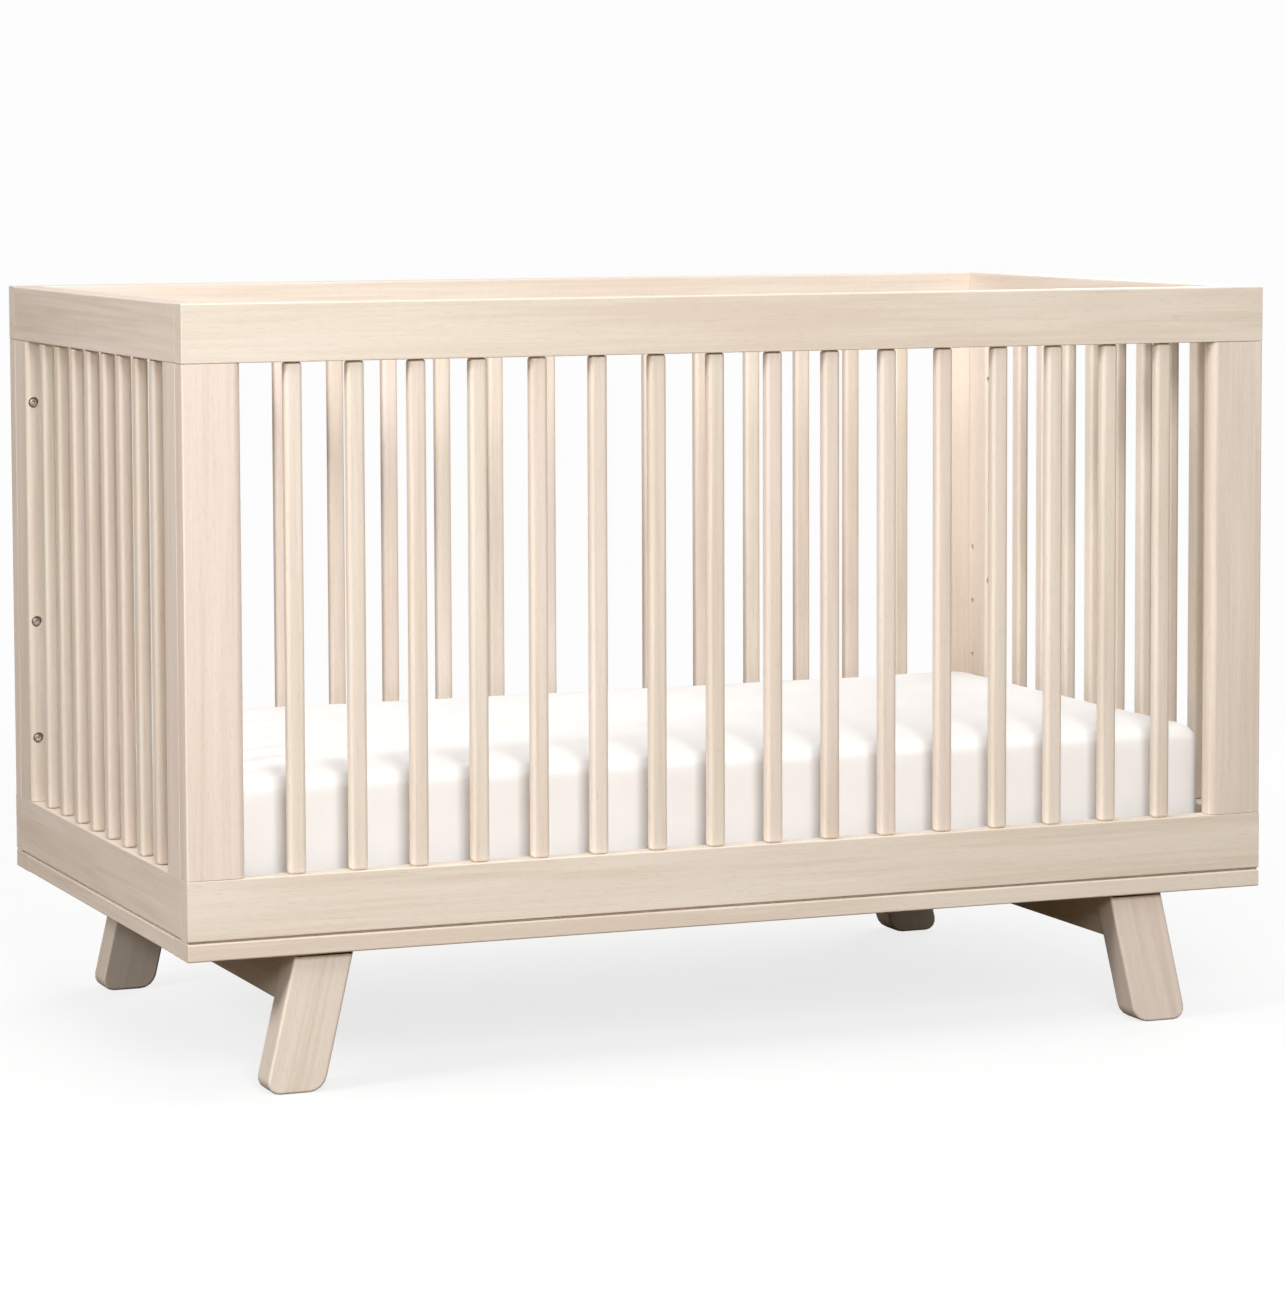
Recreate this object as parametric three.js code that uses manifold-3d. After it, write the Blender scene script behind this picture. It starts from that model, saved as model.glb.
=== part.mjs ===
// Baby crib: two slatted side panels, two slatted end panels between them, a base frame on four
// splayed legs, and a mattress on a steel support that bolts to the corner posts at four heights.
// Millimetres, +Z up, X along the crib, the front faces -Y. The origin is on the floor, under the
// middle of the crib.
import * as THREE from 'three';
import { mergeVertices } from 'three/addons/utils/BufferGeometryUtils.js';
import Module from 'manifold-3d';

const wasm = await Module();
wasm.setup();

// ---- Driving dimensions ----
const LENGTH = 1388;
const WIDTH = 780;
const HEIGHT = 912;
const SIDE_THICK = 28;
const END_THICK = 34;
const TOP_RAIL_HIGH = 68;
const BOTTOM_RAIL_TOP = 256;
const BASE_TOP = 184;
const BASE_THICK = 21;
const BASE_BOARD_WIDE = 60;
const CROSS_BOARD_WIDE = 90;
const STILE_WIDE = 70;
const POST_WIDE = 54;
const FIT = 0.3;                  // clearance left between pieces that touch

const SIDE_SLATS = 16;
const END_SLATS = 8;
const SLAT_WIDE = 21;
const SLAT_THICK = 16;
const SLAT_ROUND = 6;
const END_SLAT_SETBACK = 4;       // from the end panel's outer face
const GROOVE_WIDE = 8.6;
const GROOVE_DEEP = 12;
const GROOVE_STOP = 4;            // solid wood left at each end of a groove
const SHADOW_LINE_HIGH = 2.5;     // rebate between the bottom rails and the base
const SHADOW_LINE_DEEP = 4;
const STILE_ROUND = 9;
const POST_ROUND = 6;
const EASED_EDGE = 1.5;

const BOLT_HEIGHTS = { lower: 338, middle: 487, upper: 766 };
const BOLT_FROM_OUTSIDE = 10;
const BOLT_SHANK_R = 3;
const BOLT_BORE_R = 3.4;
const BOLT_HEAD_R = 5.4;
const BOLT_HEAD_LONG = 5;
const BOLT_HEAD_CHAMFER = 1.4;
const BRACKET_BOLT_HEAD_LONG = 4;
const COUNTERBORE_R = 7;
const COUNTERBORE_DEEP = 10;
const STILE_BORE_DEEP = 19;
const BED_RAIL_HOLE_R = 5;        // blind holes for a low guard rail, once the crib becomes a bed
const BED_RAIL_HOLE_DEEP = 12;
const BED_RAIL_HOLE_FROM_OUTSIDE = 27;

const SUPPORT_HOLE_FIRST = 306;
const SUPPORT_HOLE_STEP = 75;
const SUPPORT_HOLE_COUNT = 4;
const SUPPORT_HOLE_R = 3.6;
const SUPPORT_HOLE_DEEP = 13;
const SUPPORT_HOLE_FROM_SIDE = 12; // from the side panel's inner face

const LEG_CENTRE_TOP = 527;       // from the crib's middle, at the underside of the base
const LEG_WIDE = 71;
const LEG_THICK = 45;
const LEG_SETBACK = 12;           // from the crib's face
const LEG_LEAN = Math.tan(THREE.MathUtils.degToRad(13));
const FOOT_ROUND = 18;
const BEAM_WIDE = 66;
const BEAM_HIGH = 59;

const MATTRESS = { long: 1310, wide: 686, high: 130, corner: 40, edge: 22 };
const MATTRESS_UNDER = 236;
const SUPPORT_LONG = 1312;
const SUPPORT_WIDE = 684;
const STEEL = 2.5;
const ANGLE_LEG = 25;
const STRAP_THICK = 2;
const STRAP_LAP = 18;             // how far a strap's end reaches under the frame's angle iron
const STRAP_WIDE = 12;
const STRAPS_ALONG = 5;
const STRAPS_ACROSS = 9;
const BRACKET_WIDE = 32;
const BRACKET_THICK = 3;
const BRACKET_FROM_SIDE = 4;      // from the side panel's inner face
const BRACKET_BELOW_HOLE = 94;
const BRACKET_ABOVE_HOLE = 14;

const ROUND_SIDES = 10;           // facets round a bore or a bolt
const PAST = 1;                   // how far a cutting tool runs past the face that it opens
const OVERLAP = 0.5;              // how far joined solids run into each other

// ---- Worked out from them ----
const baseUnder = BASE_TOP - BASE_THICK;
const topRailUnder = HEIGHT - TOP_RAIL_HIGH;
const innerLength = LENGTH - 2 * END_THICK;
const innerWidth = WIDTH - 2 * SIDE_THICK;
const uprightFrom = BOTTOM_RAIL_TOP + FIT;
const uprightTo = topRailUnder - FIT;

// ---- Materials ----
const washedWood = () => new THREE.MeshStandardMaterial({ color: 0xe4d2c0, roughness: 0.55, metalness: 0 });
const steel = () => new THREE.MeshStandardMaterial({ color: 0x9a9690, roughness: 0.4, metalness: 1 });
const enamel = () => new THREE.MeshStandardMaterial({ color: 0xe9e7e2, roughness: 0.45, metalness: 0.2 });
const cotton = () => new THREE.MeshStandardMaterial({ color: 0xf7f5f2, roughness: 0.95, metalness: 0 });

// ---- Shape helpers ----
function box(x, y, z) {
  const geometry = new THREE.BoxGeometry(x[1] - x[0], y[1] - y[0], z[1] - z[0]);
  return geometry.translate((x[0] + x[1]) / 2, (y[0] + y[1]) / 2, (z[0] + z[1]) / 2);
}

// A rod between two distances along X or Y; at = its place on the other horizontal axis, and its height.
function rod(axis, at, from, to, radius) {
  const geometry = new THREE.CylinderGeometry(radius, radius, to - from, ROUND_SIDES);
  geometry.translate(0, (from + to) / 2, 0);
  if (axis === 'x') {
    return geometry.rotateZ(-Math.PI / 2).translate(0, at[0], at[1]);
  }
  return geometry.translate(at[0], 0, at[1]);
}

// A rectangle with its own radius at each corner: lower left, lower right, upper right, upper left.
function roundedRectangle(x, y, radii) {
  const shape = new THREE.Shape();
  const corners = [
    [x[0], y[0], 1, 1, Math.PI],
    [x[1], y[0], -1, 1, 1.5 * Math.PI],
    [x[1], y[1], -1, -1, 0],
    [x[0], y[1], 1, -1, 0.5 * Math.PI],
  ];
  corners.forEach(([cx, cy, inX, inY, start], i) => {
    const r = radii[i];
    shape.absarc(cx + inX * r, cy + inY * r, r, start, start + Math.PI / 2);
  });
  shape.closePath();
  return shape;
}

function upright(shape, from, to, curveSegments = 2) {
  const geometry = new THREE.ExtrudeGeometry(shape, { depth: to - from, bevelEnabled: false, curveSegments });
  return geometry.translate(0, 0, from);
}

// A shape drawn in X and Z, extruded along Y.
function alongY(shape, from, to) {
  const settings = { depth: to - from, bevelEnabled: false, curveSegments: 6 };
  const geometry = new THREE.ExtrudeGeometry(shape, settings);
  return geometry.rotateX(Math.PI / 2).translate(0, to, 0);
}

function toSolid(geometry) {
  const plain = geometry.clone();
  plain.deleteAttribute('normal');
  plain.deleteAttribute('uv');
  const merged = mergeVertices(plain, 1e-4);
  const mesh = new wasm.Mesh({
    numProp: 3,
    vertProperties: new Float32Array(merged.attributes.position.array),
    triVerts: new Uint32Array(merged.index.array),
  });
  return new wasm.Manifold(mesh);
}

function toGeometry(solid) {
  const mesh = solid.getMesh();
  const geometry = new THREE.BufferGeometry();
  geometry.setAttribute('position', new THREE.BufferAttribute(new Float32Array(mesh.vertProperties), 3));
  geometry.setIndex(new THREE.BufferAttribute(new Uint32Array(mesh.triVerts), 1));
  geometry.computeVertexNormals();
  return geometry;
}

const cut = (geometry, tools) =>
  toGeometry(tools.reduce((solid, tool) => solid.subtract(toSolid(tool)), toSolid(geometry)));
const join = (geometries) => toGeometry(geometries.map(toSolid).reduce((solid, next) => solid.add(next)));

function piece(name, geometry, material) {
  const mesh = new THREE.Mesh(geometry, material);
  mesh.name = name;
  return mesh;
}

// ---- Slats ----
const slatPitch = (opening, count) => (opening + SLAT_WIDE) / (count + 1);

// Slats first to last of a panel, joined by the strips that fill the rails' grooves between them.
function slatBank(opening, count, first, last, centreY) {
  const pitch = slatPitch(opening, count);
  const slatX = (i) => (i - (count - 1) / 2) * pitch;
  const radii = [SLAT_ROUND, SLAT_ROUND, SLAT_ROUND, SLAT_ROUND];
  const across = [centreY - SLAT_THICK / 2, centreY + SLAT_THICK / 2];
  const slats = [];
  for (let i = first; i <= last; i += 1) {
    const wide = [slatX(i) - SLAT_WIDE / 2, slatX(i) + SLAT_WIDE / 2];
    slats.push(upright(roundedRectangle(wide, across, radii), uprightFrom, uprightTo));
  }
  const grooveEnd = opening / 2 - GROOVE_STOP;
  const startX = FIT + (first === 0 ? -grooveEnd : slatX(first) - pitch / 2);
  const endX = -FIT + (last === count - 1 ? grooveEnd : slatX(last) + pitch / 2);
  const stripY = [centreY - GROOVE_WIDE / 2 + FIT, centreY + GROOVE_WIDE / 2 - FIT];
  const lower = box([startX, endX], stripY, [BOTTOM_RAIL_TOP - GROOVE_DEEP + FIT, uprightFrom + OVERLAP]);
  const upper = box([startX, endX], stripY, [uprightTo - OVERLAP, topRailUnder + GROOVE_DEEP - FIT]);
  return join([...slats, lower, upper]);
}

// ---- Rails: outer face on -Y, a groove for the slats on the edge that faces them ----
function topRail(long, thick, opening, grooveY) {
  const grooveX = opening / 2 - GROOVE_STOP;
  const grooveAcross = [grooveY - GROOVE_WIDE / 2, grooveY + GROOVE_WIDE / 2];
  const rail = box([-long / 2, long / 2], [-thick / 2, thick / 2], [topRailUnder, HEIGHT]);
  const grooveHigh = [topRailUnder - PAST, topRailUnder + GROOVE_DEEP];
  return cut(rail, [box([-grooveX, grooveX], grooveAcross, grooveHigh)]);
}

function bottomRail(long, thick, opening, grooveY) {
  const grooveX = opening / 2 - GROOVE_STOP;
  const grooveAcross = [grooveY - GROOVE_WIDE / 2, grooveY + GROOVE_WIDE / 2];
  const under = BASE_TOP + FIT;
  const rail = box([-long / 2, long / 2], [-thick / 2, thick / 2], [under, BOTTOM_RAIL_TOP]);
  const shadowLine = box(
    [-long / 2 - PAST, long / 2 + PAST],
    [-thick / 2 - PAST, -thick / 2 + SHADOW_LINE_DEEP],
    [under - PAST, BASE_TOP + SHADOW_LINE_HIGH],
  );
  const grooveHigh = [BOTTOM_RAIL_TOP - GROOVE_DEEP, BOTTOM_RAIL_TOP + PAST];
  return cut(rail, [shadowLine, box([-grooveX, grooveX], grooveAcross, grooveHigh)]);
}

// ---- Side panel: front, or turned round for the back ----
// side is -1 or 1, the end of the panel that the stile stands at.
function stile(side) {
  const outer = LENGTH / 2;
  const inner = outer - STILE_WIDE;
  const x = side < 0 ? [-outer, -inner] : [inner, outer];
  const radii = side < 0
    ? [EASED_EDGE, STILE_ROUND, STILE_ROUND, EASED_EDGE]
    : [STILE_ROUND, EASED_EDGE, EASED_EDGE, STILE_ROUND];
  const post = upright(roundedRectangle(x, [-SIDE_THICK / 2, SIDE_THICK / 2], radii), uprightFrom, uprightTo);
  const boltX = side * (outer - BOLT_FROM_OUTSIDE);
  const bores = Object.values(BOLT_HEIGHTS).map((z) =>
    rod('y', [boltX, z], SIDE_THICK / 2 - STILE_BORE_DEEP, SIDE_THICK / 2 + PAST, BOLT_BORE_R));
  return cut(post, bores);
}

function sidePanel(name, endNames) {
  const panel = new THREE.Group();
  const opening = LENGTH - 2 * STILE_WIDE;
  const half = SIDE_SLATS / 2;
  const leftBank = slatBank(opening, SIDE_SLATS, 0, half - 1, 0);
  const rightBank = slatBank(opening, SIDE_SLATS, half, SIDE_SLATS - 1, 0);
  panel.add(
    piece(`${name}_top_rail`, topRail(LENGTH, SIDE_THICK, opening, 0), washedWood()),
    piece(`${name}_bottom_rail`, bottomRail(LENGTH, SIDE_THICK, opening, 0), washedWood()),
    piece(`${name}_${endNames[0]}_stile`, stile(-1), washedWood()),
    piece(`${name}_${endNames[1]}_stile`, stile(1), washedWood()),
    piece(`${name}_${endNames[0]}_slats`, leftBank, washedWood()),
    piece(`${name}_${endNames[1]}_slats`, rightBank, washedWood()),
  );
  return panel;
}

// ---- End panel: drawn along X with its outer face on -Y, then turned to its end of the crib ----
const boltY = -END_THICK / 2 + BOLT_FROM_OUTSIDE;
const postInner = innerWidth / 2 - POST_WIDE;
const postOuter = innerWidth / 2 - FIT;

// Drilled from the side that faces the slats, whichever end of the panel the post stands at.
function fromSlatSide(side, y, z, depth, radius) {
  const mouth = postInner - PAST;
  const bottom = postInner + depth;
  const x = side < 0 ? [-bottom, -mouth] : [mouth, bottom];
  return rod('x', [y, z], x[0], x[1], radius);
}

function cornerPost(side) {
  const x = side < 0 ? [-postOuter, -postInner] : [postInner, postOuter];
  const radii = side < 0
    ? [EASED_EDGE, POST_ROUND, POST_ROUND, EASED_EDGE]
    : [POST_ROUND, EASED_EDGE, EASED_EDGE, POST_ROUND];
  const post = upright(roundedRectangle(x, [-END_THICK / 2, END_THICK / 2], radii), uprightFrom, uprightTo);
  const holes = [];
  const bedRailY = -END_THICK / 2 + BED_RAIL_HOLE_FROM_OUTSIDE;
  for (const z of Object.values(BOLT_HEIGHTS)) {
    holes.push(fromSlatSide(side, boltY, z, POST_WIDE + PAST, BOLT_BORE_R));
    holes.push(fromSlatSide(side, boltY, z, COUNTERBORE_DEEP, COUNTERBORE_R));
    holes.push(fromSlatSide(side, bedRailY, z, BED_RAIL_HOLE_DEEP, BED_RAIL_HOLE_R));
  }
  const supportX = side * (innerWidth / 2 - SUPPORT_HOLE_FROM_SIDE);
  for (let level = 0; level < SUPPORT_HOLE_COUNT; level += 1) {
    const z = SUPPORT_HOLE_FIRST + level * SUPPORT_HOLE_STEP;
    const inside = END_THICK / 2;
    holes.push(rod('y', [supportX, z], inside - SUPPORT_HOLE_DEEP, inside + PAST, SUPPORT_HOLE_R));
  }
  return cut(post, holes);
}

// A bolt with a chamfered head, drawn up +Y from the crib's middle line: seat is where its head bears.
function boltShape(seat, headLong, tip) {
  const profile = [
    new THREE.Vector2(0, seat - headLong),
    new THREE.Vector2(BOLT_HEAD_R - BOLT_HEAD_CHAMFER, seat - headLong),
    new THREE.Vector2(BOLT_HEAD_R, seat - headLong + BOLT_HEAD_CHAMFER),
    new THREE.Vector2(BOLT_HEAD_R, seat),
    new THREE.Vector2(BOLT_SHANK_R, seat),
    new THREE.Vector2(BOLT_SHANK_R, tip),
    new THREE.Vector2(0, tip),
  ];
  return new THREE.LatheGeometry(profile, ROUND_SIDES);
}

// A corner bolt: its head sits in the post's counterbore and its shank ends inside the stile.
function cornerBolt(side, z) {
  const seat = postInner + COUNTERBORE_DEEP - FIT;
  const tip = innerWidth / 2 + STILE_BORE_DEEP - PAST;
  return boltShape(seat, BOLT_HEAD_LONG, tip).rotateZ(-side * Math.PI / 2).translate(0, boltY, z);
}

function endPanel(name, sideNames) {
  const panel = new THREE.Group();
  const long = innerWidth - 2 * FIT;
  const opening = innerWidth - 2 * POST_WIDE;
  const slatY = -END_THICK / 2 + END_SLAT_SETBACK + SLAT_THICK / 2;
  panel.add(
    piece(`${name}_top_rail`, topRail(long, END_THICK, opening, slatY), washedWood()),
    piece(`${name}_bottom_rail`, bottomRail(long, END_THICK, opening, slatY), washedWood()),
    piece(`${name}_slats`, slatBank(opening, END_SLATS, 0, END_SLATS - 1, slatY), washedWood()),
  );
  [-1, 1].forEach((side, i) => {
    panel.add(piece(`${name}_${sideNames[i]}_post`, cornerPost(side), washedWood()));
    for (const [level, z] of Object.entries(BOLT_HEIGHTS)) {
      panel.add(piece(`${name}_${sideNames[i]}_${level}_bolt`, cornerBolt(side, z), steel()));
    }
  });
  return panel;
}

// ---- Base frame ----
function base() {
  const frame = new THREE.Group();
  const high = [baseUnder, BASE_TOP];
  const faceY = WIDTH / 2;
  const insideY = faceY - BASE_BOARD_WIDE;
  const faceX = LENGTH / 2;
  const between = [-insideY + FIT, insideY - FIT];
  const cross = (side) => [-1, 1].map((edge) => side * LEG_CENTRE_TOP + (edge * CROSS_BOARD_WIDE) / 2);
  const boards = {
    base_front_board: [[-faceX, faceX], [-faceY, -insideY]],
    base_back_board: [[-faceX, faceX], [insideY, faceY]],
    base_left_board: [[-faceX, -faceX + BASE_BOARD_WIDE], between],
    base_right_board: [[faceX - BASE_BOARD_WIDE, faceX], between],
    base_left_cross_board: [cross(-1), between],
    base_right_cross_board: [cross(1), between],
  };
  for (const [name, [x, y]] of Object.entries(boards)) {
    frame.add(piece(name, box(x, y, high), washedWood()));
  }
  return frame;
}

// ---- Legs: each pair leans outwards and is tied by a beam between its legs ----
// Outline of a leaning leg or beam: side is -1 or 1, z is its lowest and highest level.
function leaningOutline(side, wide, z, round) {
  const centre = (level) => side * (LEG_CENTRE_TOP + LEG_LEAN * (baseUnder - level));
  const edge = (level, offset) => new THREE.Vector2(centre(level) + offset, level);
  const half = wide / 2;
  const lowLeft = edge(z[0], -half);
  const lowRight = edge(z[0], half);
  const shape = new THREE.Shape();
  shape.moveTo(centre(z[1]) - half, z[1]);
  if (round > 0) {
    const up = edge(z[0] + round, -half);
    shape.lineTo(up.x, up.y);
    shape.quadraticCurveTo(lowLeft.x, lowLeft.y, lowLeft.x + round, lowLeft.y);
    shape.lineTo(lowRight.x - round, lowRight.y);
    shape.quadraticCurveTo(lowRight.x, lowRight.y, edge(z[0] + round, half).x, up.y);
  } else {
    shape.lineTo(lowLeft.x, lowLeft.y);
    shape.lineTo(lowRight.x, lowRight.y);
  }
  shape.lineTo(centre(z[1]) + half, z[1]);
  shape.closePath();
  return shape;
}

function legPair(name, side) {
  const pair = new THREE.Group();
  const top = baseUnder - FIT;
  const outline = leaningOutline(side, LEG_WIDE, [0, top], FOOT_ROUND);
  const outside = WIDTH / 2 - LEG_SETBACK;
  const inside = outside - LEG_THICK;
  const beam = leaningOutline(side, BEAM_WIDE, [baseUnder - BEAM_HIGH, top], 0);
  pair.add(
    piece(`front_${name}_leg`, alongY(outline, -outside, -inside), washedWood()),
    piece(`back_${name}_leg`, alongY(outline, inside, outside), washedWood()),
    piece(`${name}_leg_beam`, alongY(beam, -inside + FIT, inside - FIT), washedWood()),
  );
  return pair;
}

// ---- Mattress support: a rectangle of angle iron with flat steel straps lapped under it ----
const supportTop = MATTRESS_UNDER - FIT;

// A length of angle iron along X: one leg flat on top, the other hanging at -Y.
function angleIron(long) {
  const bar = box([-long / 2, long / 2], [0, ANGLE_LEG], [supportTop - ANGLE_LEG, supportTop]);
  const hollow = box(
    [-long / 2 - PAST, long / 2 + PAST],
    [STEEL, ANGLE_LEG + PAST],
    [supportTop - ANGLE_LEG - PAST, supportTop - STEEL],
  );
  return cut(bar, [hollow]);
}

// The straps cross in one welded deck: a plate with every gap between the straps cut away.
function strapDeck() {
  const top = supportTop - STEEL - FIT;
  const x = SUPPORT_LONG / 2 - ANGLE_LEG + STRAP_LAP;
  const y = SUPPORT_WIDE / 2 - ANGLE_LEG + STRAP_LAP;
  const gaps = (long, half, count) => {
    const pitch = long / (count + 1);
    return Array.from({ length: count + 1 }, (_, i) => [
      i === 0 ? -half - PAST : -long / 2 + i * pitch + STRAP_WIDE / 2,
      i === count ? half + PAST : -long / 2 + (i + 1) * pitch - STRAP_WIDE / 2,
    ]);
  };
  const high = [top - STRAP_THICK - PAST, top + PAST];
  const cells = gaps(SUPPORT_LONG, x, STRAPS_ACROSS).flatMap((wide) =>
    gaps(SUPPORT_WIDE, y, STRAPS_ALONG).map((deep) => box(wide, deep, high)));
  return cut(box([-x, x], [-y, y], [top - STRAP_THICK, top]), cells);
}

function support() {
  const frame = new THREE.Group();
  const endLong = SUPPORT_WIDE - 2 * ANGLE_LEG - 2 * FIT;
  const x = SUPPORT_LONG / 2;
  const y = SUPPORT_WIDE / 2;
  frame.add(
    piece('support_front_angle', angleIron(SUPPORT_LONG).translate(0, -y, 0), enamel()),
    piece('support_back_angle', angleIron(SUPPORT_LONG).rotateZ(Math.PI).translate(0, y, 0), enamel()),
    piece('support_left_angle', angleIron(endLong).rotateZ(-Math.PI / 2).translate(-x, 0, 0), enamel()),
    piece('support_right_angle', angleIron(endLong).rotateZ(Math.PI / 2).translate(x, 0, 0), enamel()),
    piece('support_straps', strapDeck(), enamel()),
  );
  return frame;
}

// A bracket hangs the frame's corner from the bolt above it; endSide and side pick the corner.
function supportCorner(name, endSide, side) {
  const corner = new THREE.Group();
  const holeY = side * (innerWidth / 2 - SUPPORT_HOLE_FROM_SIDE);
  const outerY = side * (innerWidth / 2 - BRACKET_FROM_SIDE);
  const innerY = outerY - side * BRACKET_WIDE;
  const nearX = SUPPORT_LONG / 2 + FIT;
  const farX = nearX + BRACKET_THICK;
  const x = endSide < 0 ? [-farX, -nearX] : [nearX, farX];
  const y = side < 0 ? [outerY, innerY] : [innerY, outerY];
  const plate = box(x, y, [SUPPORT_HOLE_FIRST - BRACKET_BELOW_HOLE, SUPPORT_HOLE_FIRST + BRACKET_ABOVE_HOLE]);
  const hole = rod('x', [holeY, SUPPORT_HOLE_FIRST], x[0] - PAST, x[1] + PAST, BOLT_BORE_R);
  const bolt = boltShape(nearX - FIT, BRACKET_BOLT_HEAD_LONG, innerLength / 2 - FIT);
  bolt.rotateZ(-endSide * Math.PI / 2).translate(0, holeY, SUPPORT_HOLE_FIRST);
  corner.add(
    piece(`support_${name}_bracket`, cut(plate, [hole]), steel()),
    piece(`support_${name}_bolt`, bolt, steel()),
  );
  return corner;
}

function mattress() {
  const { long, wide, high, corner, edge } = MATTRESS;
  const x = long / 2 - edge;
  const y = wide / 2 - edge;
  const r = corner - edge / 2;
  const geometry = new THREE.ExtrudeGeometry(roundedRectangle([-x, x], [-y, y], [r, r, r, r]), {
    depth: high - 2 * edge,
    bevelThickness: edge,
    bevelSize: edge,
    bevelSegments: 3,
    curveSegments: 3,
  });
  geometry.translate(0, 0, MATTRESS_UNDER + edge);
  return piece('mattress', geometry, cotton());
}

// ---- The crib ----
const crib = new THREE.Group();

const front = sidePanel('front', ['left', 'right']);
front.position.y = -(WIDTH - SIDE_THICK) / 2;
const back = sidePanel('back', ['right', 'left']);
back.position.y = (WIDTH - SIDE_THICK) / 2;
back.rotation.z = Math.PI;

const leftEnd = endPanel('left_end', ['back', 'front']);
leftEnd.position.x = -(LENGTH - END_THICK) / 2;
leftEnd.rotation.z = -Math.PI / 2;
const rightEnd = endPanel('right_end', ['front', 'back']);
rightEnd.position.x = (LENGTH - END_THICK) / 2;
rightEnd.rotation.z = Math.PI / 2;

crib.add(front, back, leftEnd, rightEnd, base(), legPair('left', -1), legPair('right', 1));
crib.add(support(), mattress());
crib.add(
  supportCorner('front_left', -1, -1),
  supportCorner('front_right', 1, -1),
  supportCorner('back_left', -1, 1),
  supportCorner('back_right', 1, 1),
);

export default crib;
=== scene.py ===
# %% [markdown]
# # A slatted baby crib
# A crib is mostly joinery: four slatted panels stand on a low base with splayed block legs, and a
# mattress lies inside on a steel support. The CAD frame says where every member is, so this lesson
# only decides how each one looks. We build the visible surfaces from formulas, cut the bolt holes,
# and let a cloth simulation fill out the mattress.

import math

import bpy
import numpy as np
from mathutils import Matrix, Vector


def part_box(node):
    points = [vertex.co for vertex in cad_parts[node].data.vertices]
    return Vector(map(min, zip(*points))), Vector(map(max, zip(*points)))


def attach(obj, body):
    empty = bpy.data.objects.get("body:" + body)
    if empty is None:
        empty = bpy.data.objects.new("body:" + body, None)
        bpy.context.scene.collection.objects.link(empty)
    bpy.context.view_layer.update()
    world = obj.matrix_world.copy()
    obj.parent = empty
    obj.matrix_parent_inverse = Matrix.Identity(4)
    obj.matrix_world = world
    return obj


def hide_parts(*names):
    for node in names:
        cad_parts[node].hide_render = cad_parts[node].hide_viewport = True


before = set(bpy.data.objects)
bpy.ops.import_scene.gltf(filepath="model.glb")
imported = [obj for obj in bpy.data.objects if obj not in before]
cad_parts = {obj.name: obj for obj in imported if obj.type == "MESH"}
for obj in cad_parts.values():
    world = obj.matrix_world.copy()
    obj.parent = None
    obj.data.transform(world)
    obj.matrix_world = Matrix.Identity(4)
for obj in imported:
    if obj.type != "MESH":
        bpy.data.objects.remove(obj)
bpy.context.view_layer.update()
print("members in the frame:", len(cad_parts))

# %% [markdown]
# ## Where we stand
# A crib is usually shown from a few metres away, a little above the top rail, with a long lens so
# that its rails stay nearly parallel. The lens is shifted down instead of being tilted further,
# which keeps the posts upright.

# %% Camera
EYE = (-2.133, -5.313, 1.080)
HEADING = math.radians(22.08)   # turned right from straight along +Y
TILT = math.radians(4.58)       # below the horizon
ROLL = math.radians(-0.2)
LENS_MM = 126.8
SENSOR_MM = 36
SHIFT_DOWN = -0.1

camera = bpy.data.objects.new("camera", bpy.data.cameras.new("camera"))
camera.data.lens = LENS_MM
camera.data.sensor_width = SENSOR_MM
camera.data.shift_y = SHIFT_DOWN
camera.matrix_world = (
    Matrix.Translation(EYE)
    @ Matrix.Rotation(-HEADING, 4, "Z")
    @ Matrix.Rotation(math.pi / 2 - TILT, 4, "X")
    @ Matrix.Rotation(ROLL, 4, "Z")
)
bpy.context.scene.collection.objects.link(camera)
bpy.context.scene.camera = camera
bpy.context.scene.view_settings.view_transform = "Standard"
print("camera", round(camera.location.length, 2), "m from the crib's middle")

# %% [markdown]
# ## Putting arrays into a mesh
# Every surface here is a grid of points worked out as one numpy array: rows along the piece,
# columns around it. One helper turns the grid into a closed tube with flat caps, and another puts
# it into Blender. Pieces stay at the origin, and their place is in their points.

# %% Mesh helpers
def tube_faces(rows, around):
    """Faces of a closed tube: a quad between each pair of neighbours, and a flat cap on each end.

    Rows rise along +Z and columns run anticlockwise, so that all faces point outwards.
    """
    ring = np.arange(around)
    after = np.roll(ring, -1)
    row = np.arange(rows - 1)[:, None] * around
    quads = np.stack([row + ring, row + after, row + around + after, row + around + ring], -1)
    last = (rows - 1) * around + ring
    return quads.reshape(-1, 4).tolist() + [ring[::-1].tolist(), last.tolist()]


def put_mesh(name, points, faces):
    """An object at the origin with these points (n, 3) and faces."""
    mesh = bpy.data.meshes.new(name)
    mesh.from_pydata(np.asarray(points).reshape(-1, 3).tolist(), [], faces)
    made = bpy.data.objects.new(name, mesh)
    bpy.context.scene.collection.objects.link(made)
    return made


def points_of(piece):
    """The piece's points as an (n, 3) array."""
    flat = np.empty(len(piece.data.vertices) * 3, np.float32)
    piece.data.vertices.foreach_get("co", flat)
    return flat.reshape(-1, 3).astype(float)


def bake_modifiers(piece):
    """Replaces the piece's mesh by what its modifiers make of it."""
    graph = bpy.context.evaluated_depsgraph_get()
    mesh = bpy.data.meshes.new_from_object(piece.evaluated_get(graph))
    piece.modifiers.clear()
    piece.data = mesh


print("a box-like tube of 2 rows of 4 has", len(tube_faces(2, 4)), "faces")

# %% [markdown]
# ## The floor
# The crib stands on a plain floor. A square plane would do, but its corners would show from some
# side. A wide disc has none, and with rings that double in radius it needs few faces: each point
# is the ring's radius times the cosine and the sine of its angle.

# %% Floor
FLOOR_RINGS = (0.6, 1.2, 2.4, 4.8, 9.6, 30.0)
FLOOR_SIDES = 64

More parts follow.
